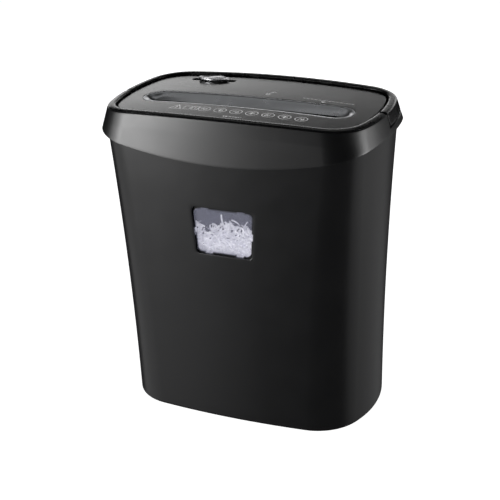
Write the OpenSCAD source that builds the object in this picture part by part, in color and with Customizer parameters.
// Desktop paper shredder: a cutting head that lifts off a flared waste bin.
// X runs along the feed slot, -Y is the front, +Z is up; the origin is under the middle of the bin.

/* [Bin] */
// Half length of the bin at its foot
bin_half_len = 141.6; // [136:0.5:146]
// Half depth of the bin at its foot
bin_half_dep = 86.4; // [82:0.5:92]
// Corner radius of the bin at its foot
bin_corner = 54.6; // [48:0.2:60]
// Height of the bin rim above the floor
bin_top = 325.3; // [310:0.5:330]
// Thickness of the bin wall
bin_wall = 2.5; // [2:0.1:3]
// How far the wall hollows inwards before it flares to the rim
flare = 0.69; // [0:0.01:0.8]
// Width of the viewing window at its top
window_top_w = 71.8; // [50:0.2:80]
// Width of the viewing window at its foot
window_foot_w = 64.8; // [45:0.2:75]
// Height of the viewing window
window_h = 52.8; // [30:0.2:60]
// Height of the window's foot above the floor
window_z = 198.4; // [120:0.1:205]
// Sideways place of the window
window_x = -0.1; // [-20:0.1:20]

/* [Head] */
// Half length of the skirt at its lower edge
skirt_half_len = 157.8; // [157:0.2:162]
// Half depth of the skirt at its lower edge
skirt_half_dep = 93.6; // [93:0.2:98]
// Half length of the head at its rim
rim_half_len = 151.8; // [151:0.2:155]
// Half depth of the head at its rim
rim_half_dep = 88.2; // [87.5:0.1:91]
// Corner radius of the rim
rim_corner = 42.2; // [40:0.1:44]
// Height of the rim above the floor, at the middle
head_top = 350.5; // [349:0.1:354]
// How far the rim drops from its middle to its ends
crown = 4.7; // [2:0.1:5]
// Height of the skirt's lower edge at the ends
skirt_z = 323.3; // [322:0.1:326]
// How far the lower edge dips at the front and back
skirt_dip = 22.8; // [10:0.2:26]
// Width of the rim bead and of the handle's top
bead_w = 8; // [6:0.2:8]

/* [Feed slot] */
// Length of the feed slot, an A4 or letter sheet wide
slot_len = 220; // [212:1:220]
// Width of the feed slot
slot_w = 6; // [5:0.1:6.4]
// Depth of the slot mouth below the rim
slot_drop = 10; // [8:0.2:11]
// Front to back width of the feed recess
recess_w = 42; // [36:0.5:44]
// Front to back place of the slot
slot_y = -15; // [-16:0.5:-14]

/* [Controls] */
// Length of the sliding mode knob
knob_len = 37; // [30:0.5:40]
// Width of the sliding mode knob
knob_w = 16; // [12:0.5:20]
// Travel of the knob to each side
knob_travel = 6.5; // [4:0.5:8]
// Middle of the knob, sideways
knob_x = -71; // [-80:1:-60]
// Middle of the knob, front to back
knob_y = 57; // [54:1:60]
// Height of the carry handle's outer face
handle_h = 15; // [12:0.2:15.4]

/* [Cutting works] */
// Distance between the two cutter shafts
shaft_gap = 34; // [33:0.5:35]
// Height of the cutter shafts
shaft_z = 292; // [290:0.5:294]
// Outer radius of a cutter disc
disc_r = 19.5; // [18.5:0.1:19.8]
// Thickness of a cutter disc
disc_t = 4.4; // [3.6:0.1:4.4]
// Spacing of the discs along a shaft
disc_pitch = 9.6; // [9.6:0.1:10.4]
// Radius of the motor can
motor_r = 22; // [18:0.5:22]
// Length of the motor can
motor_len = 72; // [50:1:80]

/* [Hidden] */

// Outline shared by bin, skirt and rim: bowed sides joined by round corners.
side_bow = 4.95;
front_bow = 3.9;
rim_bow = 4.65;
side_steps = 4;
corner_steps = 9;
front_steps = 6;
quarter = side_steps + corner_steps + front_steps;
stations = 4 * quarter;
skirt_corner = rim_corner + 0.1;

// Wall and fit sizes.
wall = 2.5;
rest_gap = 0.3;
pin_fit = 0.05;
eps = 0.01;
foot_edge = 3;
bin_floor = 3;
bin_inset = 6;
bin_half_len_top = skirt_half_len - bin_inset;
bin_half_dep_top = skirt_half_dep - bin_inset;

// Heights below the rim crest.
skirt_edge_drop = 2;
ledge_drop = 7;
ledge_t = 2;
ledge_in = 13;
panel_drop = 2.7;
panel_t = 2.4;
panel_gap = 3;
panel_in = bead_w + panel_gap;
lip_t = 1.8;
channel_drop = handle_h + 1.5;
channel_t = 1.7;
channel_in = bead_w + 1.4;
rear_ledge_drop = 7.4;
handle_end_gap = 2.6;
bead_end_gap = 6;

// Handle hinge.
hinge_back = 5;
hinge_drop = 5;
pin_r = 2.2;
pin_in = 3.5;
hinge_z = head_top - crown - hinge_drop;

// Feed recess.
recess_len = slot_len + 22;
throat_steps = 12;
throat_z = head_top - slot_drop;

// Head base tub, which hangs inside the bin.
tub_gap = 1.7;
tub_corner_extra = 3;
tub_wall = 2.2;
tub_floor_z = 256;
tub_inset = bin_wall + tub_gap;
tub_half_len = lerp(bin_half_len, bin_half_len_top, bin_share(tub_floor_z)) - tub_inset;
tub_half_dep = lerp(bin_half_dep, bin_half_dep_top, bin_share(tub_floor_z)) - tub_inset;
tub_corner = lerp(bin_corner, skirt_corner - bin_inset, bin_share(tub_floor_z)) - tub_inset + tub_corner_extra;
tub_floor_t = 2.4;
flange_z = bin_top + rest_gap;
flange_t = 2;
flange_in = 0.4;
screw_in = 16.6;
screw_r = 1.6;
screw_head_r = 2.9;
screw_head_h = 2;
boss_r = 3;
lug_r = 9.4;
screw_len = 12;

// Cutting works, laid out in the YZ plane as [y, z].
front_axis = [slot_y - shaft_gap / 2, shaft_z];
rear_axis = [slot_y + shaft_gap / 2, shaft_z];
plate_x = slot_len / 2 + 2;
plate_t = 2;
hex_r = 9;
journal_r = 6;
journal_in = plate_x - 1.4;
journal_out = plate_x + plate_t + 1.2;
bush_r = 8;
bush_in = plate_x - 0.6;
bush_len = plate_t + 1;
hook_count = 6;
disc_body_r = disc_r - 2.3;
disc_twist = 14;
front_discs = floor(slot_len / disc_pitch);
rear_discs = front_discs - 1;
comb_t = 4;
comb_bar_out = 23.6;
comb_bar_t = 4;
comb_bar_h = 28;
rod_r = 3.5;
rod_points = [[slot_y - 41, shaft_z + 20], [slot_y - 41, shaft_z - 21], [slot_y + 35, shaft_z + 30],
    [slot_y + 41, shaft_z - 21]];

// Gear train: [teeth, module].
pressure_angle = 20;
backlash = 0.16;
addendum = 0.8;
dedendum = 1.15;
sync_teeth = 20;
sync_mod = shaft_gap / sync_teeth;
drive_teeth = 40;
drive_pinion_teeth = 14;
drive_mod = 1.25;
second_teeth = 42;
second_pinion_teeth = 12;
second_mod = 1;
first_teeth = 48;
motor_teeth = 12;
first_mod = 0.8;
layer_t = 5;
layer_gap = 0.7;
layer1_x = plate_x + plate_t + 0.8;
layer2_x = layer1_x + layer_t + layer_gap;
layer3_x = layer2_x + layer_t + layer_gap;
outer_plate_x = layer3_x + layer_t + 0.8;
outer_plate_t = 1.6;
second_angle = 35;
first_angle = -60;
motor_angle = 75;
second_axis = rear_axis + polar((drive_teeth + drive_pinion_teeth) * drive_mod / 2, second_angle);
first_axis = second_axis + polar((second_teeth + second_pinion_teeth) * second_mod / 2, first_angle);
motor_axis = first_axis + polar((first_teeth + motor_teeth) * first_mod / 2, motor_angle);
drive_phase = 0;
second_pinion_phase = mesh_phase(drive_phase, drive_teeth, drive_pinion_teeth, second_angle);
second_phase = 0;
first_pinion_phase = mesh_phase(second_phase, second_teeth, second_pinion_teeth, first_angle);
first_phase = 0;
motor_phase = mesh_phase(first_phase, first_teeth, motor_teeth, motor_angle);
axle_r = 2.5;
idler_bush_r = 3.6;
bore_slack = 1.045;
end_hex_r = 6;
end_hex_slack = 0.06;
end_bore_r = end_hex_r + end_hex_slack;
// A hexagonal rod laid along X has a corner straight down.
hex_turn = 90;
sync_gear_x = -plate_x - plate_t - 1.2;
sync_gear_t = 7;

// Motor.
motor_x1 = plate_x - 3;
motor_x0 = motor_x1 - motor_len;
motor_wall = 1.5;
magnet_t = 4;
motor_nose_r = 12;
motor_screw_r = 1.2;
motor_screw_points = [for (s = [-1, 1]) motor_axis + polar(8.4, motor_angle + 90 * s)];
motor_shaft_r = 2.2;
armature_r = motor_r - motor_wall - magnet_t - 0.8;
fan_r = 14;
fan_blades = 8;
commutator_r = 6;

// Electrics on the left of the motor.
board = [92, 38, 1.6];
board_at = [-108, 32, 312];
pillar_r = 3;
pillar_spots = [for (x = [4, board.x - 4], y = [4, board.y - 4]) [x, y]];
switch_size = [30, 12, 10];
stem_size = [12, 6];
knob_h = 3.4;
knob_gap = 0.6;
knob_ridge_h = 1;
knob_ridge_len = 12;
knob_ridge_turn = 35;
knob_pocket = 0.8;
stem_grip = 0.6;
knob_slot = [knob_len + 2 * knob_travel + 4, stem_size.y + 2];
slider_flange = [30, 16, 1.6];
window_corner = 5;
window_tab = [8, 3.6];
tab_reach = 2.15;
top_tab_x = 21;
foot_tab_x = 18;
side_tab_drop = 2;
pane_set_back = 0.95;
pane_inset = 2.1;
pane_t = 2.6;
pane_flange = 4.2;
pane_flange_t = 1.4;
skirt_joint = 0.2;
post_at = [-133, -20, 306];
post_w = 8;
plunger_r = 1.9;
plunger_x = post_at.x - 3;
plunger_len = 13;
interlock_size = [14, 20, 11];
interlock_z = post_at.z + 7;
flag_pin_r = 1.2;
flag_w = 3;
flag_axis = [slot_y + 8.6, 324];
flag_window_h = 16;
gland_x = -43;
gland_z = 318.8;
gland_r = 6.2;
gland_bore_r = 3.6;
gland_y0 = skirt_half_dep - 10;
gland_y1 = skirt_half_dep - 0.8;

function lerp(a, b, t) = a + (b - a) * t;
function polar(r, angle) = r * [cos(angle), sin(angle)];
function flat(list) = [for (row = list) for (item = row) item];

// One quarter of an outline from the +X end to the +Y middle, both ends included.
function quarter_outline(a, b, r, fb, sb) =
    let (cx = a - r - sb, cy = b - r - fb)
    let (rs = (cy * cy + sb * sb) / (2 * sb), rf = (cx * cx + fb * fb) / (2 * fb))
    let (as = asin(cy / rs), af = asin(cx / rf))
    concat(
        [for (i = [0:side_steps - 1]) [a - r - rs, 0] + polar(rs + r, as * i / side_steps)],
        [for (i = [0:corner_steps - 1]) [cx, cy] + polar(r, as + (90 - af - as) * i / corner_steps)],
        [for (i = [0:front_steps]) [0, b - r - rf] + polar(rf + r, 90 - af * (1 - i / front_steps))]);

// The closed outline, anticlockwise from the +X end.
function outline(a, b, r, fb, sb) =
    let (q = quarter_outline(a, b, r, fb, sb), n = quarter)
    concat(
        [for (i = [0:n - 1]) q[i]],
        [for (i = [0:n - 1]) [-q[n - i].x, q[n - i].y]],
        [for (i = [0:n - 1]) -q[i]],
        [for (i = [0:n - 1]) [q[n - i].x, -q[n - i].y]]);

function rim_outline(inset) =
    outline(rim_half_len - inset, rim_half_dep - inset, rim_corner - inset, rim_bow, side_bow);
function skirt_outline(inset) =
    outline(skirt_half_len - inset, skirt_half_dep - inset, skirt_corner - inset, front_bow, side_bow);
function tub_outline(inset) =
    outline(tub_half_len - inset, tub_half_dep - inset, tub_corner - inset, front_bow, side_bow);

// The bin's outline at a height, drawn in by an inset.
function bin_share(z) = let (t = max(0, (z - foot_edge) / (skirt_z - foot_edge))) t + flare * t * (t - 1);
function bin_outline(z, inset) =
    let (g = bin_share(z))
    outline(lerp(bin_half_len, bin_half_len_top, g) - inset, lerp(bin_half_dep, bin_half_dep_top, g) - inset,
        lerp(bin_corner, skirt_corner - bin_inset, g) - inset, front_bow, side_bow);

function crest_z(x) = head_top - crown * pow(x / rim_half_len, 2);
function edge_z(x) = skirt_z - skirt_dip * (1 - pow(min(1, abs(x) / skirt_half_len), 2));
function with_z(points, z) = [for (p = points) [p.x, p.y, z]];

// A line round the skirt wall, some way below the crest and inside the outer face.
function skirt_line(inset, drop) =
    let (top = rim_outline(inset), low = skirt_outline(inset))
    [for (i = [0:stations - 1])
        let (zt = crest_z(top[i].x), s = drop / (zt - edge_z(low[i].x)), p = lerp(top[i], low[i], s))
        [p.x, p.y, zt - drop]];
// A line that keeps straight under the rim, for the walls inside the flared skirt.
function rim_line(inset, drop) = [for (p = rim_outline(inset)) [p.x, p.y, crest_z(p.x) - drop]];
function skirt_foot(inset) = [for (p = skirt_outline(inset)) [p.x, p.y, edge_z(p.x)]];

// Value of a closed list at a whole or part station.
function at(list, u) =
    let (n = len(list), k = floor(u))
    lerp(list[(k + n) % n], list[(k + 1 + n) % n], u - k);

// Part station whose Y is a given distance in front of or behind the hinge line.
side_y1 = rim_outline(0)[1].y;
function side_u(y) = y / side_y1;

// Faces of a swept section: rings of k points; "closed" joins the last ring to the first.
function sweep_faces(rings, k, closed) =
    concat(
        flat([for (i = [0:rings - (closed ? 1 : 2)], j = [0:k - 1])
            let (a = i * k + j, b = i * k + (j + 1) % k)
            let (c = ((i + 1) % rings) * k + (j + 1) % k, d = ((i + 1) % rings) * k + j)
            [[a, b, c], [a, c, d]]]),
        closed ? [] : [[for (j = [k - 1:-1:0]) j], [for (j = [0:k - 1]) (rings - 1) * k + j]]);

module sweep(sections, closed) {
    polyhedron(flat(sections), sweep_faces(len(sections), len(sections[0]), closed), 10);
}

// A stack of level rings, closed at both ends.
module stack(rings) {
    n = len(rings[0]);
    m = len(rings);
    sides = flat([for (j = [0:m - 2], i = [0:n - 1])
        let (a = j * n + i, b = j * n + (i + 1) % n)
        [[a, a + n, b + n], [a, b + n, b]]]);
    caps = [[for (i = [0:n - 1]) i], [for (i = [n - 1:-1:0]) (m - 1) * n + i]];
    polyhedron(flat(rings), concat(sides, caps), 10);
}

// Corner points of a polygon rounded with arcs.
function rounded(points, r, steps = 5) =
    let (n = len(points))
    flat([for (i = [0:n - 1])
        let (p = points[i], u = unit(points[(i + n - 1) % n] - p), v = unit(points[(i + 1) % n] - p))
        let (half = acos(u * v) / 2, c = p + unit(u + v) * r / sin(half))
        let (s = -unit(v + u) * r, turn = sign(u.x * v.y - u.y * v.x) * (90 - half))
        [for (k = [0:steps]) c + spin(s, turn * (1 - 2 * k / steps))]]);
function unit(v) = v / norm(v);
function spin(v, a) = [v.x * cos(a) - v.y * sin(a), v.x * sin(a) + v.y * cos(a)];

// Puts a YZ profile at an X place with a thickness along X.
module along_x(x, t) {
    translate([x, 0, 0]) rotate([90, 0, 90]) linear_extrude(t) children();
}

module rod_x(x0, x1, axis, r, n = 48) {
    translate([x0, axis.x, axis.y]) rotate([0, 90, 0]) cylinder(r = r, h = x1 - x0, $fn = n);
}

// Plate between two drops below the crown of the rim.
module crowned_slab(top_drop, low_drop) {
    half = rim_half_len;
    steps = 16;
    xs = [for (i = [-steps:steps]) half * i / steps];
    top = [for (x = xs) [x, crest_z(x) - top_drop]];
    low = [for (i = [len(xs) - 1:-1:0]) [xs[i], crest_z(xs[i]) - low_drop]];
    translate([0, rim_half_dep, 0]) rotate([90, 0, 0]) linear_extrude(2 * rim_half_dep) polygon(concat(top, low));
}

module prism(points, z0, z1) {
    translate([0, 0, z0]) linear_extrude(z1 - z0) polygon(points);
}

// Slot with round ends, along X.
module stadium(len_x, w) {
    square([len_x - w, w], center = true);
    for (s = [-1, 1]) translate([s * (len_x - w) / 2, 0]) circle(d = w, $fn = 64);
}

// ---- Gear shapes ----
function involute(r, base) = sqrt(max(0, pow(r / base, 2) - 1)) * 180 / PI - acos(min(1, base / r));
function gear_points(teeth, mod, phase) =
    let (rp = teeth * mod / 2, rb = rp * cos(pressure_angle))
    let (radii = [rp - dedendum * mod, max(rb, rp - addendum * mod), rp, rp + addendum * mod])
    let (half = 90 / teeth - backlash * mod / rp * 90 / PI)
    let (wide = [for (r = radii) half + involute(rp, rb) - involute(max(r, rb), rb)])
    flat([for (i = [0:teeth - 1]) let (c = phase + 360 * i / teeth)
        concat([for (k = [0:3]) polar(radii[k], c - wide[k])], [for (k = [3:-1:0]) polar(radii[k], c + wide[k])])]);

// Angle of a tooth on the second gear of a pair, "towards" being the way from first to second.
function mesh_phase(phase, teeth, next_teeth, towards) =
    towards + 180 + (towards - phase) * teeth / next_teeth + 180 / next_teeth;

module gear(axis, x, t, teeth, mod, phase, bore_r, bore_sides) {
    translate([0, axis.x, axis.y]) along_x(x, t) difference() {
        polygon(gear_points(teeth, mod, phase));
        rotate(hex_turn) circle(r = bore_r, $fn = bore_sides);
    }
}

// ---- Bin ----
module window_outline(grow) {
    half_top = window_top_w / 2 + grow;
    half_foot = window_foot_w / 2 + grow;
    polygon(rounded([[-half_foot, window_z - grow], [half_foot, window_z - grow],
        [half_top, window_z + window_h + grow], [-half_top, window_z + window_h + grow]], window_corner));
}

// Short tongues that hold the pane in the middle of its opening.
module window_tabs() {
    for (s = [-1, 1]) {
        translate([s * foot_tab_x, window_z + tab_reach]) square(window_tab, center = true);
        translate([s * top_tab_x, window_z + window_h - tab_reach]) square(window_tab, center = true);
        side_x = (window_top_w + window_foot_w) / 4 - tab_reach;
        translate([s * side_x, window_z + window_h / 2 - side_tab_drop])
            square([window_tab.y, window_tab.x], center = true);
    }
}

module at_window(y0, y1) {
    translate([window_x, y1, 0]) rotate([90, 0, 0]) linear_extrude(y1 - y0) children();
}

module bin_shell() {
    outer_levels = [for (i = [0:9]) lerp(foot_edge, bin_top, i / 9)];
    inner_levels = [for (i = [9:-1:0]) lerp(bin_floor, bin_top, i / 9)];
    notch_w = 2 * (gland_r + 3.4);
    color([0.13, 0.13, 0.14]) union() {
        difference() {
            stack(concat(
                [with_z(bin_outline(0, 2.2), 0), with_z(bin_outline(0, 0.7), 0.9)],
                [for (z = outer_levels) with_z(bin_outline(z, 0), z)],
                [for (z = inner_levels) with_z(bin_outline(z, bin_wall), z)]));
            at_window(-bin_half_dep_top - 2, -bin_half_dep_top + 8) window_outline(0);
            translate([gland_x - notch_w / 2, bin_half_dep - 8, gland_z - gland_r - 3])
                cube([notch_w, 20, bin_top]);
        }
        // Finger that presses the interlock plunger.
        translate([-bin_half_len_top + 2.6, post_at.y - post_w / 2, post_at.z - 14])
            cube([bin_half_len_top - 2.6 + post_at.x, post_w, 14]);
    }
}

module bin_window() {
    pane_y = -lerp(bin_half_dep, bin_half_dep_top, bin_share(window_z + window_h / 2)) + pane_set_back;
    color([0.78, 0.78, 0.84, 0.5]) {
        at_window(pane_y, pane_y + pane_t) {
            window_outline(-pane_inset);
            window_tabs();
        }
        at_window(pane_y + pane_t - 0.1, pane_y + pane_t + pane_flange_t) window_outline(pane_flange);
    }
}

// ---- Head shell ----
front_columns = [skirt_foot(0), skirt_line(0, channel_drop), skirt_line(0, skirt_edge_drop),
    skirt_line(2.2, skirt_edge_drop), skirt_line(2.2, ledge_drop), rim_line(ledge_in, ledge_drop),
    rim_line(ledge_in, ledge_drop + ledge_t), skirt_line(wall, ledge_drop + ledge_t),
    skirt_line(wall, channel_drop + channel_t), skirt_foot(wall)];
rear_columns = [skirt_foot(0), skirt_line(0, channel_drop), rim_line(channel_in, channel_drop),
    rim_line(channel_in, rear_ledge_drop), rim_line(ledge_in, rear_ledge_drop),
    rim_line(ledge_in, rear_ledge_drop + ledge_t), rim_line(channel_in + 2, rear_ledge_drop + ledge_t),
    rim_line(channel_in + 2, channel_drop + channel_t), skirt_line(wall, channel_drop + channel_t),
    skirt_foot(wall)];
function section(columns, u) = [for (c = columns) at(c, u)];

module hinge_bores(r) {
    for (s = [-1, 1]) mirror([s < 0 ? 1 : 0, 0, 0])
        rod_x(rim_half_len - channel_in - 6, rim_half_len - pin_in + 1, [hinge_back, hinge_z], r);
}

// The shell is two mouldings that meet under the handle's front ends.
module skirt_front() {
    end_u = side_u(handle_end_gap + skirt_joint);
    half = stations / 2;
    spots = concat([half + end_u], [for (i = [half + 1:stations - 1]) i], [stations - end_u]);
    color([0.1, 0.1, 0.11]) sweep([for (u = spots) section(front_columns, u)], false);
}

module skirt_rear() {
    end_u = side_u(handle_end_gap);
    half = stations / 2;
    spots = concat([-end_u], [for (i = [0:half]) i], [half + end_u]);
    color([0.1, 0.1, 0.11]) difference() {
        sweep([for (u = spots) section(rear_columns, u)], false);
        hinge_bores(pin_r + pin_fit);
        translate([gland_x, gland_y0 - 3, gland_z]) rotate([-90, 0, 0]) cylinder(r = gland_r + 0.1, h = 20, $fn = 48);
    }
}

module rim_bead() {
    half = stations / 2;
    end_u = side_u(bead_end_gap);
    columns = [skirt_line(0.5, 1.4), skirt_line(0.9, 0.7), skirt_line(2.4, 0.15), skirt_line(4.6, 0),
        rim_line(bead_w - 1.2, 0.1), rim_line(bead_w, 0.9), rim_line(bead_w, ledge_drop - 0.1),
        skirt_line(2.6, ledge_drop - 0.1), skirt_line(2.6, 1.8)];
    spots = concat([half + end_u], [for (i = [half + 1:stations - 1]) i], [stations - end_u]);
    color([0.12, 0.12, 0.12]) sweep([for (u = spots) section(columns, u)], false);
}

screw_stations = [side_steps + corner_steps / 2, quarter, 2 * quarter - side_steps - corner_steps / 2,
    2 * quarter + side_steps + corner_steps / 2, 3 * quarter, 4 * quarter - side_steps - corner_steps / 2];
screw_spots = [for (u = screw_stations) at(rim_outline(screw_in), u)];

module top_panel() {
    color([0.25, 0.25, 0.26]) difference() {
        union() {
            intersection() {
                prism(rim_outline(panel_in), 0, head_top);
                crowned_slab(panel_drop, panel_drop + panel_t);
            }
            intersection() {
                difference() {
                    prism(rim_outline(panel_in), 0, head_top);
                    prism(rim_outline(panel_in + lip_t), -1, head_top + 1);
                }
                crowned_slab(panel_drop + 1, ledge_drop - 0.2);
            }
            for (p = screw_spots) translate([p.x, p.y, flange_z + flange_t + 0.1])
                cylinder(r = boss_r, h = crest_z(p.x) - panel_drop - 1.2 - flange_z - flange_t - 0.1, $fn = 32);
        }
        translate([0, slot_y, 0]) linear_extrude(head_top + 1) stadium(recess_len + 0.8, recess_w + 0.8);
        translate([knob_x, knob_y, 0]) linear_extrude(head_top + 1) stadium(knob_slot.x, knob_slot.y);
        for (p = screw_spots) translate([p.x, p.y, flange_z])
            cylinder(r = screw_r + pin_fit, h = screw_len + 1, $fn = 32);
    }
}

// ---- Feed recess and guides ----
// Stadium outline with the crown of the panel, dropped by a depth.
function throat_ring(half_len, half_w, drop) =
    let (straight = half_len - half_w)
    [for (s = [1, -1], i = [0:throat_steps])
        let (p = [s * straight, slot_y] + s * polar(half_w, -90 + 180 * i / throat_steps))
        [p.x, p.y, drop < slot_drop ? crest_z(p.x) - drop : head_top - drop]];

module feed_throat() {
    half = recess_len / 2;
    mouth = slot_w / 2;
    top = panel_drop + 0.1;
    columns = [throat_ring(slot_len / 2 + 1.8, mouth + 1.8, slot_drop + 2),
        throat_ring(half - 3, recess_w / 2 - 3, top + 4), throat_ring(half, recess_w / 2, top + 1.6),
        throat_ring(half, recess_w / 2, top), throat_ring(half - 1.4, recess_w / 2 - 1.4, top),
        throat_ring(half - 4, recess_w / 2 - 5, top + 2), throat_ring(slot_len / 2, mouth, slot_drop),
        throat_ring(slot_len / 2, mouth, slot_drop + 2)];
    color([0.7, 0.7, 0.72])
        sweep([for (i = [0:len(columns[0]) - 1]) [for (c = columns) c[i]]], true);
}

module feed_guides() {
    guide_top = throat_z - 2.1;
    guide_foot = shaft_z + 19;
    guide_t = 1.6;
    color([0.16, 0.16, 0.17]) for (s = [-1, 1]) difference() {
        translate([-plate_x + 0.2, slot_y + (s < 0 ? -slot_w / 2 - guide_t : slot_w / 2), guide_foot])
            cube([2 * plate_x - 0.4, guide_t, guide_top - guide_foot]);
        if (s > 0) translate([-flag_w, slot_y, flag_axis.y + 5 - flag_window_h]) cube([2 * flag_w, slot_w + 2, flag_window_h]);
    }
}

// ---- Carry handle ----
module carry_handle() {
    edge = 3;
    half = stations / 2;
    end_ys = [0, 0.9, edge];
    spots = concat([for (y = end_ys) side_u(y)], [for (i = [1:half - 1]) i],
        [for (i = [2:-1:0]) half - side_u(end_ys[i])]);
    function low_drop(u) =
        let (y = side_y1 * min(u, half - u), k = max(0, edge - y))
        handle_h - edge + sqrt(max(0, edge * edge - k * k));
    function handle_section(u) = [at(skirt_line(2.2, low_drop(u)), u), at(skirt_line(0.1, low_drop(u) - 1.6), u),
        at(skirt_line(0, 2), u), at(skirt_line(0.7, 0.7), u), at(skirt_line(2.4, 0.1), u),
        at(rim_line(bead_w - 1.6, 0.1), u), at(rim_line(bead_w, 1.1), u),
        at(rim_line(bead_w, 4), u), at(rim_line(bead_w - 0.6, low_drop(u)), u)];
    color([0.09, 0.09, 0.1]) difference() {
        sweep([for (u = spots) handle_section(u)], false);
        hinge_bores(pin_r + pin_fit);
    }
}

module handle_pins() {
    color("silver") for (s = [-1, 1]) mirror([s < 0 ? 1 : 0, 0, 0])
        rod_x(rim_half_len - channel_in - 1.4, rim_half_len - pin_in, [hinge_back, hinge_z], pin_r);
}

// ---- Mode knob ----
panel_z = crest_z(knob_x) - panel_drop;
function knob_ring(grow, z) = [for (i = [0:47])
    [(knob_len / 2 + grow) * cos(7.5 * i), (knob_w / 2 + grow) * sin(7.5 * i), z]];

module mode_knob() {
    color([0.85, 0.85, 0.87]) translate([knob_x, knob_y, panel_z + knob_gap]) difference() {
        stack([knob_ring(-0.4, 0), knob_ring(0, 0.5), knob_ring(0, knob_h - 1.8), knob_ring(-0.8, knob_h - 1),
            knob_ring(-2.4, knob_h - 0.6)]);
        translate([0, 0, -1]) linear_extrude(1 + knob_pocket) square([knob_len - 12, knob_w / 2], center = true);
    }
    // Diagonal finger ridge across the cap.
    color([0.85, 0.85, 0.87]) translate([knob_x, knob_y, panel_z + knob_gap + knob_h - knob_ridge_h])
        rotate([0, 0, knob_ridge_turn]) rotate([90, 0, 90])
        translate([0, 0, -knob_ridge_len / 2]) linear_extrude(knob_ridge_len)
        polygon([[-3, 0], [3, 0], [1.2, knob_ridge_h], [-1.2, knob_ridge_h]]);
}

module knob_slider() {
    stem_foot = board_at.z + board.z + switch_size.z + 0.3;
    under = panel_z - panel_t - 1.2;
    color([0.2, 0.2, 0.2]) translate([knob_x, knob_y, 0]) {
        translate([-stem_size.x / 2, -stem_size.y / 2, stem_foot])
            cube([stem_size.x, stem_size.y, panel_z + knob_gap + stem_grip - stem_foot]);
        translate([-slider_flange.x / 2, -slider_flange.y / 2, under - 2]) cube(slider_flange);
    }
}

module mode_switch() {
    color([0.08, 0.08, 0.08]) translate([knob_x - switch_size.x / 2, knob_y - switch_size.y / 2, board_at.z + board.z])
        cube(switch_size);
}

// ---- Head base ----
module head_base() {
    outlet_x = plate_x - 1;
    outlet_y0 = front_axis.x - disc_r - 1.5;
    outlet_y1 = rear_axis.x + disc_r + 1.5;
    color([0.15, 0.15, 0.16]) difference() {
        union() {
            difference() {
                prism(tub_outline(0), tub_floor_z, flange_z + flange_t);
                prism(tub_outline(tub_wall), tub_floor_z + tub_floor_t, head_top);
            }
            difference() {
                prism(rim_outline(flange_in), flange_z, flange_z + flange_t);
                prism(tub_outline(tub_wall), 0, head_top);
            }
            intersection() {
                for (p = screw_spots) translate([p.x, p.y, flange_z]) cylinder(r = lug_r, h = flange_t, $fn = 48);
                prism(tub_outline(0.5), flange_z, flange_z + flange_t);
            }
            // Rib beside the interlock switch.
            intersection() {
                translate([-tub_half_len, post_at.y - interlock_size.y / 2 - 3, interlock_z - 9])
                    cube([tub_half_len + plunger_x + interlock_size.x - 3, 2.95, interlock_size.z + 9]);
                prism(tub_outline(0.5), 0, head_top);
            }
        }
        translate([-outlet_x, outlet_y0, 0]) cube([2 * outlet_x, outlet_y1 - outlet_y0, tub_floor_z + tub_floor_t + 1]);
        // Way up the wall for the bin's interlock finger.
        translate([-tub_half_len - 1, post_at.y - post_w / 2 - 2, 0])
            cube([tub_half_len + 2.5 + post_at.x, post_w + 4, post_at.z + 6]);
        // Cord entry behind the gland.
        translate([gland_x, tub_half_dep - 12, gland_z - 2]) rotate([-90, 0, 0])
            cylinder(r = gland_bore_r + 0.4, h = 30, $fn = 48);
        for (p = screw_spots) translate([p.x, p.y, flange_z - 1]) cylinder(r = screw_r + 0.2, h = 4, $fn = 32);
    }
}

module head_screws() {
    color("silver") for (p = screw_spots) translate([p.x, p.y, flange_z - screw_head_h]) difference() {
        union() {
            cylinder(r = screw_head_r, h = screw_head_h, $fn = 48);
            cylinder(r = screw_r, h = screw_head_h + screw_len, $fn = 48);
        }
        for (a = [0, 90]) rotate([0, 0, a]) translate([-1.7, -0.35, -1]) cube([3.4, 0.7, 2]);
    }
}

// ---- Cutting works ----
module side_plate(x, points, holes) {
    color([0.62, 0.63, 0.65]) along_x(x, plate_t) difference() {
        polygon(rounded(points, 6));
        for (a = [front_axis, rear_axis]) translate(a) circle(r = bush_r + pin_fit, $fn = 64);
        for (p = rod_points) translate(p) circle(r = rod_r - 0.8 + pin_fit, $fn = 48);
        for (h = holes) translate([h[0].x, h[0].y]) circle(r = h[1], $fn = 48);
    }
}

plate_foot = tub_floor_z + tub_floor_t + 0.1;
plate_front = slot_y - 47;
module side_plate_left() {
    side_plate(-plate_x - plate_t, [[plate_front, plate_foot], [slot_y + 47, plate_foot],
        [slot_y + 47, shaft_z + 37], [slot_y + 22, shaft_z + 37], [slot_y - 8, shaft_z + 27],
        [plate_front, shaft_z + 27]], []);
}

module side_plate_right() {
    side_plate(plate_x, [[plate_front, plate_foot], [motor_axis.x + 10, plate_foot],
        [motor_axis.x + 20, shaft_z], [motor_axis.x + 20, shaft_z + 18], [motor_axis.x + 4, shaft_z + 33],
        [slot_y + 30, shaft_z + 37], [slot_y + 22, shaft_z + 37],
        [slot_y - 8, shaft_z + 27], [plate_front, shaft_z + 27]],
        [[motor_axis, 4], [first_axis, axle_r + pin_fit], [second_axis, axle_r + pin_fit],
        for (p = motor_screw_points) [p, motor_screw_r + pin_fit]]);
}

module tie_rods() {
    color("silver") for (p = rod_points) {
        rod_x(-plate_x + 0.02, plate_x - 0.02, p, rod_r);
        rod_x(-plate_x - plate_t, plate_x + plate_t, p, rod_r - 0.8);
    }
}

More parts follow.
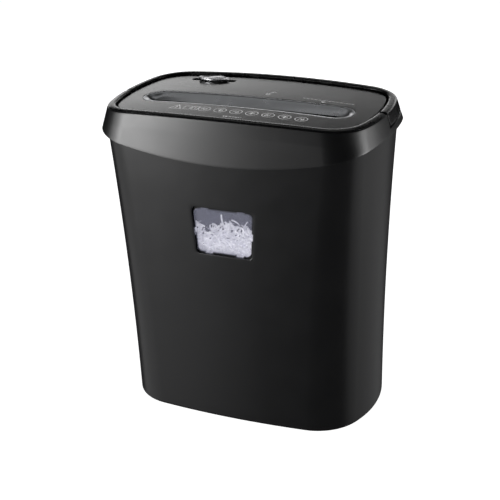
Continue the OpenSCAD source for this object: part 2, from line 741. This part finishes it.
module shaft_bushes() {
    color([0.7, 0.55, 0.25]) for (a = [front_axis, rear_axis], s = [0, 1]) mirror([s, 0, 0]) difference() {
        rod_x(bush_in, bush_in + bush_len, a, bush_r, 64);
        rod_x(bush_in - 1, bush_in + bush_len + 1, a, journal_r + pin_fit, 64);
    }
}

// Hexagonal shaft with round journals; the ends beyond them are smaller hexagons for gears.
module cutter_shaft(axis, left_end, right_end) {
    color([0.55, 0.56, 0.58]) {
        rod_x(-journal_in, journal_in, axis, hex_r, 6);
        rod_x(journal_in, journal_out, axis, journal_r);
        rod_x(-journal_out, -journal_in, axis, journal_r);
        rod_x(journal_out, right_end, axis, end_hex_r, 6);
        rod_x(left_end, -journal_out, axis, end_hex_r, 6);
    }
}

shaft_left_end = sync_gear_x - sync_gear_t - 3;
module front_shaft() {
    cutter_shaft(front_axis, shaft_left_end, journal_out + 3.4);
}

module rear_shaft() {
    cutter_shaft(rear_axis, shaft_left_end, layer3_x + layer_t + 0.4);
}

function disc_points(turn) = flat([for (i = [0:hook_count - 1])
    let (a = turn + i * 360 / hook_count)
    [polar(disc_r, a), polar(disc_body_r, a + 8), polar(disc_body_r + 0.3, a + 22),
        polar(disc_body_r + 0.7, a + 38), polar(disc_body_r + 1.2, a + 50)]]);

module cutters(axis, count, hand) {
    color([0.5, 0.51, 0.53]) for (i = [0:count - 1])
        translate([0, axis.x, axis.y]) along_x((i - (count - 1) / 2) * disc_pitch - disc_t / 2, disc_t) difference() {
            polygon([for (p = disc_points(hand * disc_twist * i)) [hand * p.x, p.y]]);
            rotate(hex_turn) circle(r = hex_r + end_hex_slack, $fn = 6);
        }
}

module front_cutters() {
    cutters(front_axis, front_discs, 1);
}

module rear_cutters() {
    cutters(rear_axis, rear_discs, -1);
}

// Comb of stripper fingers that reach between the discs from outside, on one side of the slot.
module comb(axis, side, gaps) {
    bar_y = side * comb_bar_out;
    color([0.3, 0.3, 0.3]) translate([0, axis.x, axis.y]) {
        along_x(-plate_x + 0.3, 2 * plate_x - 0.6)
            translate([bar_y - comb_bar_t / 2, -comb_bar_h / 2]) square([comb_bar_t, comb_bar_h]);
        for (i = [0:gaps - 1]) along_x((i - (gaps - 1) / 2) * disc_pitch - comb_t / 2, comb_t) difference() {
            polygon([[bar_y, -12], [bar_y, 12], [side * 1.5, 15], [side * 1.5, -15]]);
            circle(r = 11, $fn = 12);
        }
    }
}

module front_comb() {
    comb(front_axis, -1, front_discs - 1);
}

module rear_comb() {
    comb(rear_axis, 1, rear_discs - 1);
}

module front_sync_gear() {
    color([0.55, 0.55, 0.56])
        gear(front_axis, sync_gear_x - sync_gear_t, sync_gear_t, sync_teeth, sync_mod, 0,
        end_bore_r, 6);
}

module rear_sync_gear() {
    color([0.55, 0.55, 0.56])
        gear(rear_axis, sync_gear_x - sync_gear_t, sync_gear_t, sync_teeth, sync_mod,
        mesh_phase(0, sync_teeth, sync_teeth, 0), end_bore_r, 6);
}

module drive_gear() {
    color([0.55, 0.55, 0.56])
        gear(rear_axis, layer3_x, layer_t, drive_teeth, drive_mod, drive_phase,
        end_bore_r, 6);
}

bush_bore_r = idler_bush_r * bore_slack;
module second_idler_gear() {
    color([0.85, 0.83, 0.76]) {
        gear(second_axis, layer2_x, layer_t, second_teeth, second_mod, second_phase, bush_bore_r, 12);
        gear(second_axis, layer2_x + layer_t, layer_gap + layer_t, drive_pinion_teeth, drive_mod,
            second_pinion_phase, bush_bore_r, 12);
    }
}

module first_idler_gear() {
    color([0.85, 0.83, 0.76]) {
        gear(first_axis, layer1_x, layer_t, first_teeth, first_mod, first_phase, bush_bore_r, 12);
        gear(first_axis, layer1_x + layer_t, layer_gap + layer_t, second_pinion_teeth, second_mod,
            first_pinion_phase, bush_bore_r, 12);
    }
}

// Sintered bush pressed into an idler gear.
module idler_bush(axis, x0, x1) {
    color([0.7, 0.55, 0.25]) difference() {
        rod_x(x0, x1, axis, idler_bush_r);
        rod_x(x0 - 1, x1 + 1, axis, axle_r + pin_fit);
    }
}

module second_idler_bush() {
    idler_bush(second_axis, layer1_x, layer3_x + layer_t);
}

module first_idler_bush() {
    idler_bush(first_axis, layer1_x, layer2_x + layer_t);
}

module idler_axles() {
    color("silver") for (a = [first_axis, second_axis])
        rod_x(plate_x, outer_plate_x + outer_plate_t + 1.2, a, axle_r);
}

// Outer plate of the gearbox, held off the side plate by two spacers and the axles.
spacer_points = [rear_axis + [-20, 24], rear_axis + [14, -28.5]];
module gearbox_plate() {
    color([0.62, 0.63, 0.65]) along_x(outer_plate_x, outer_plate_t) difference() {
        polygon(rounded([rear_axis + [-26, 30], rear_axis + [-26, 16], rear_axis + [8, -33],
            rear_axis + [20, -33], first_axis + [8, -8], first_axis + [8, 6], second_axis + [9, 9]], 4));
        for (a = [first_axis, second_axis]) translate(a) circle(r = axle_r + pin_fit, $fn = 48);
    }
}

module gearbox_spacers() {
    color("silver") for (p = spacer_points) rod_x(plate_x + plate_t, outer_plate_x, p, 3);
}

// ---- Motor ----
module motor_can() {
    color([0.6, 0.61, 0.63]) difference() {
        union() {
            rod_x(motor_x0, motor_x1, motor_axis, motor_r, 96);
            rod_x(motor_x1, plate_x, motor_axis, motor_nose_r, 64);
            rod_x(motor_x0 - 3, motor_x0, motor_axis, 8, 64);
        }
        rod_x(motor_x0 + motor_wall, motor_x1 - motor_wall, motor_axis, motor_r - motor_wall, 96);
        rod_x(motor_x0 - 4, plate_x + 1, motor_axis, motor_shaft_r + pin_fit, 48);
        for (p = motor_screw_points) rod_x(motor_x1 - motor_wall - 1, plate_x + 1, p, motor_screw_r + pin_fit, 32);
    }
}

module motor_screws() {
    color("silver") for (p = motor_screw_points) {
        rod_x(motor_x1 - 1, plate_x + plate_t, p, motor_screw_r, 32);
        rod_x(plate_x + plate_t, plate_x + plate_t + 1, p, 2.2, 32);
    }
}

module motor_magnets() {
    color([0.2, 0.2, 0.2]) along_x(motor_x0 + 16, motor_len - 28) translate(motor_axis) difference() {
        circle(r = motor_r - motor_wall - 0.02, $fn = 96);
        circle(r = motor_r - motor_wall - magnet_t, $fn = 96);
        square([2 * motor_r, 12], center = true);
    }
}

module motor_shaft() {
    color("silver") rod_x(motor_x0 - 12, layer1_x + layer_t + 0.4, motor_axis, motor_shaft_r);
}

module motor_armature() {
    pole = 360 / 5;
    color([0.45, 0.3, 0.2]) {
        along_x(motor_x0 + 18, motor_len - 32) translate(motor_axis) difference() {
            circle(r = armature_r, $fn = 96);
            circle(r = motor_shaft_r, $fn = 48);
            for (i = [0:4]) rotate(i * pole) translate([armature_r - 2, 0]) square([6, 2.4], center = true);
        }
        difference() {
            rod_x(motor_x0 + 5, motor_x0 + 15, motor_axis, commutator_r);
            rod_x(motor_x0 + 4, motor_x0 + 16, motor_axis, motor_shaft_r);
        }
    }
}

module motor_pinion() {
    color([0.7, 0.55, 0.25])
        gear(motor_axis, layer1_x, layer_t, motor_teeth, first_mod, motor_phase, motor_shaft_r * bore_slack, 12);
}

module motor_fan() {
    hub_r = 5;
    fan_x = motor_x0 - 11;
    color([0.2, 0.2, 0.2]) along_x(fan_x, 6) translate(motor_axis) difference() {
        union() {
            circle(r = hub_r, $fn = 48);
            for (i = [0:fan_blades - 1]) rotate(i * 360 / fan_blades) translate([hub_r - 1, -0.7])
                square([fan_r - hub_r + 1, 1.4]);
        }
        circle(r = motor_shaft_r, $fn = 48);
    }
}

module brush_holders() {
    color([0.55, 0.4, 0.2]) translate([0, motor_axis.x, motor_axis.y]) for (s = [-1, 1])
        translate([motor_x0 + 7, s > 0 ? commutator_r + 0.3 : -motor_r + motor_wall + 1.2, -2.5])
            cube([6, motor_r - motor_wall - 1.5 - commutator_r, 5]);
}

// ---- Electrics ----
module thermal_cutout() {
    color([0.15, 0.15, 0.15]) translate([motor_x0 + 24, motor_axis.x - 5, motor_axis.y + motor_r])
        cube([16, 10, 5]);
}

module control_board() {
    color([0.1, 0.35, 0.2]) translate(board_at) difference() {
        cube(board);
        for (p = pillar_spots) translate([p.x, p.y, -1]) cylinder(r = 1.5, h = 4, $fn = 32);
    }
}

module board_pillars() {
    pillar_foot = tub_floor_z + tub_floor_t;
    color([0.16, 0.16, 0.17]) for (p = pillar_spots) translate([board_at.x + p.x, board_at.y + p.y, 0]) {
        translate([0, 0, pillar_foot]) cylinder(r = pillar_r, h = board_at.z - pillar_foot, $fn = 32);
        translate([0, 0, board_at.z]) cylinder(r = 1.4, h = board.z + 0.8, $fn = 32);
    }
}

module motor_capacitor() {
    color([0.75, 0.6, 0.1]) translate(board_at + [62, 8, board.z]) cube([18, 8, 14]);
}

module motor_relay() {
    color([0.1, 0.15, 0.35]) translate(board_at + [62, 20, board.z]) cube([19, 15, 15]);
}

module terminal_block() {
    color([0.2, 0.45, 0.25]) translate(board_at + [6, 4, board.z]) cube([20, 9, 10]);
}

module interlock_switch() {
    color([0.1, 0.1, 0.1]) difference() {
        translate([plunger_x - 2.4, post_at.y - interlock_size.y / 2, interlock_z]) cube(interlock_size);
        translate([plunger_x, post_at.y, interlock_z - 1]) cylinder(r = plunger_r + pin_fit, h = 8, $fn = 48);
    }
}

module interlock_plunger() {
    color([0.7, 0.1, 0.1]) translate([plunger_x, post_at.y, post_at.z + rest_gap])
        cylinder(r = plunger_r, h = plunger_len, $fn = 48);
}

// ---- Paper flag ----
module paper_flag() {
    hub_r = 2.6;
    reach = 11;
    color([0.75, 0.75, 0.7]) translate([0, flag_axis.x, flag_axis.y]) difference() {
        union() {
            rod_x(-flag_w / 2, flag_w / 2, [0, 0], hub_r);
            along_x(-flag_w / 2, flag_w)
                polygon([[0, 2.4], [-reach, -2], [-reach, -4.6], [-reach + 3, -5.2], [0, -2.4]]);
            along_x(-flag_w / 2, flag_w) polygon([[0, 2], [7, 1], [7, -1], [0, -2]]);
        }
        rod_x(-flag_w, flag_w, [0, 0], flag_pin_r + pin_fit, 48);
    }
}

module flag_pin() {
    color("silver") rod_x(-flag_w - 3, flag_w + 3, flag_axis, flag_pin_r);
}

// Forked sensor block behind the rear guide; its cheeks carry the flag's pin.
module flag_sensor() {
    cheek_t = 3;
    guide_back = slot_y + slot_w / 2 + 1.6;
    color([0.1, 0.1, 0.1]) difference() {
        union() {
            for (s = [-1, 1]) translate([s * (flag_w / 2 + 0.5 + cheek_t / 2) - cheek_t / 2, guide_back, flag_axis.y - 5])
                cube([cheek_t, 15, 10]);
            translate([-flag_w / 2 - 0.5 - cheek_t, guide_back + 15, flag_axis.y - 5])
                cube([flag_w + 1 + 2 * cheek_t, 2, 10]);
        }
        rod_x(-10, 10, flag_axis, flag_pin_r + pin_fit, 48);
    }
}

// ---- Cord gland and clips ----
module cord_gland() {
    color([0.05, 0.05, 0.05]) translate([gland_x, 0, gland_z]) rotate([-90, 0, 0]) difference() {
        translate([0, 0, gland_y0]) cylinder(r = gland_r, h = gland_y1 - gland_y0, $fn = 64);
        translate([0, 0, gland_y0 - 1]) cylinder(r = gland_bore_r, h = gland_y1, $fn = 64);
    }
}

module shaft_clips() {
    color("silver") for (a = [first_axis, second_axis]) difference() {
        rod_x(outer_plate_x + outer_plate_t + 0.1, outer_plate_x + outer_plate_t + 0.9, a, axle_r + 1.6);
        rod_x(outer_plate_x, outer_plate_x + 5, a, axle_r + pin_fit);
    }
}

bin_shell();
bin_window();
skirt_front();
skirt_rear();
rim_bead();
top_panel();
feed_throat();
feed_guides();
carry_handle();
handle_pins();
mode_knob();
knob_slider();
mode_switch();
head_base();
head_screws();
side_plate_left();
side_plate_right();
tie_rods();
shaft_bushes();
front_shaft();
front_cutters();
rear_shaft();
rear_cutters();
front_comb();
rear_comb();
front_sync_gear();
rear_sync_gear();
drive_gear();
second_idler_gear();
second_idler_bush();
first_idler_gear();
first_idler_bush();
idler_axles();
gearbox_plate();
gearbox_spacers();
motor_can();
motor_screws();
motor_magnets();
motor_shaft();
motor_armature();
motor_pinion();
motor_fan();
brush_holders();
thermal_cutout();
control_board();
board_pillars();
motor_capacitor();
motor_relay();
terminal_block();
interlock_switch();
interlock_plunger();
paper_flag();
flag_pin();
flag_sensor();
cord_gland();
shaft_clips();
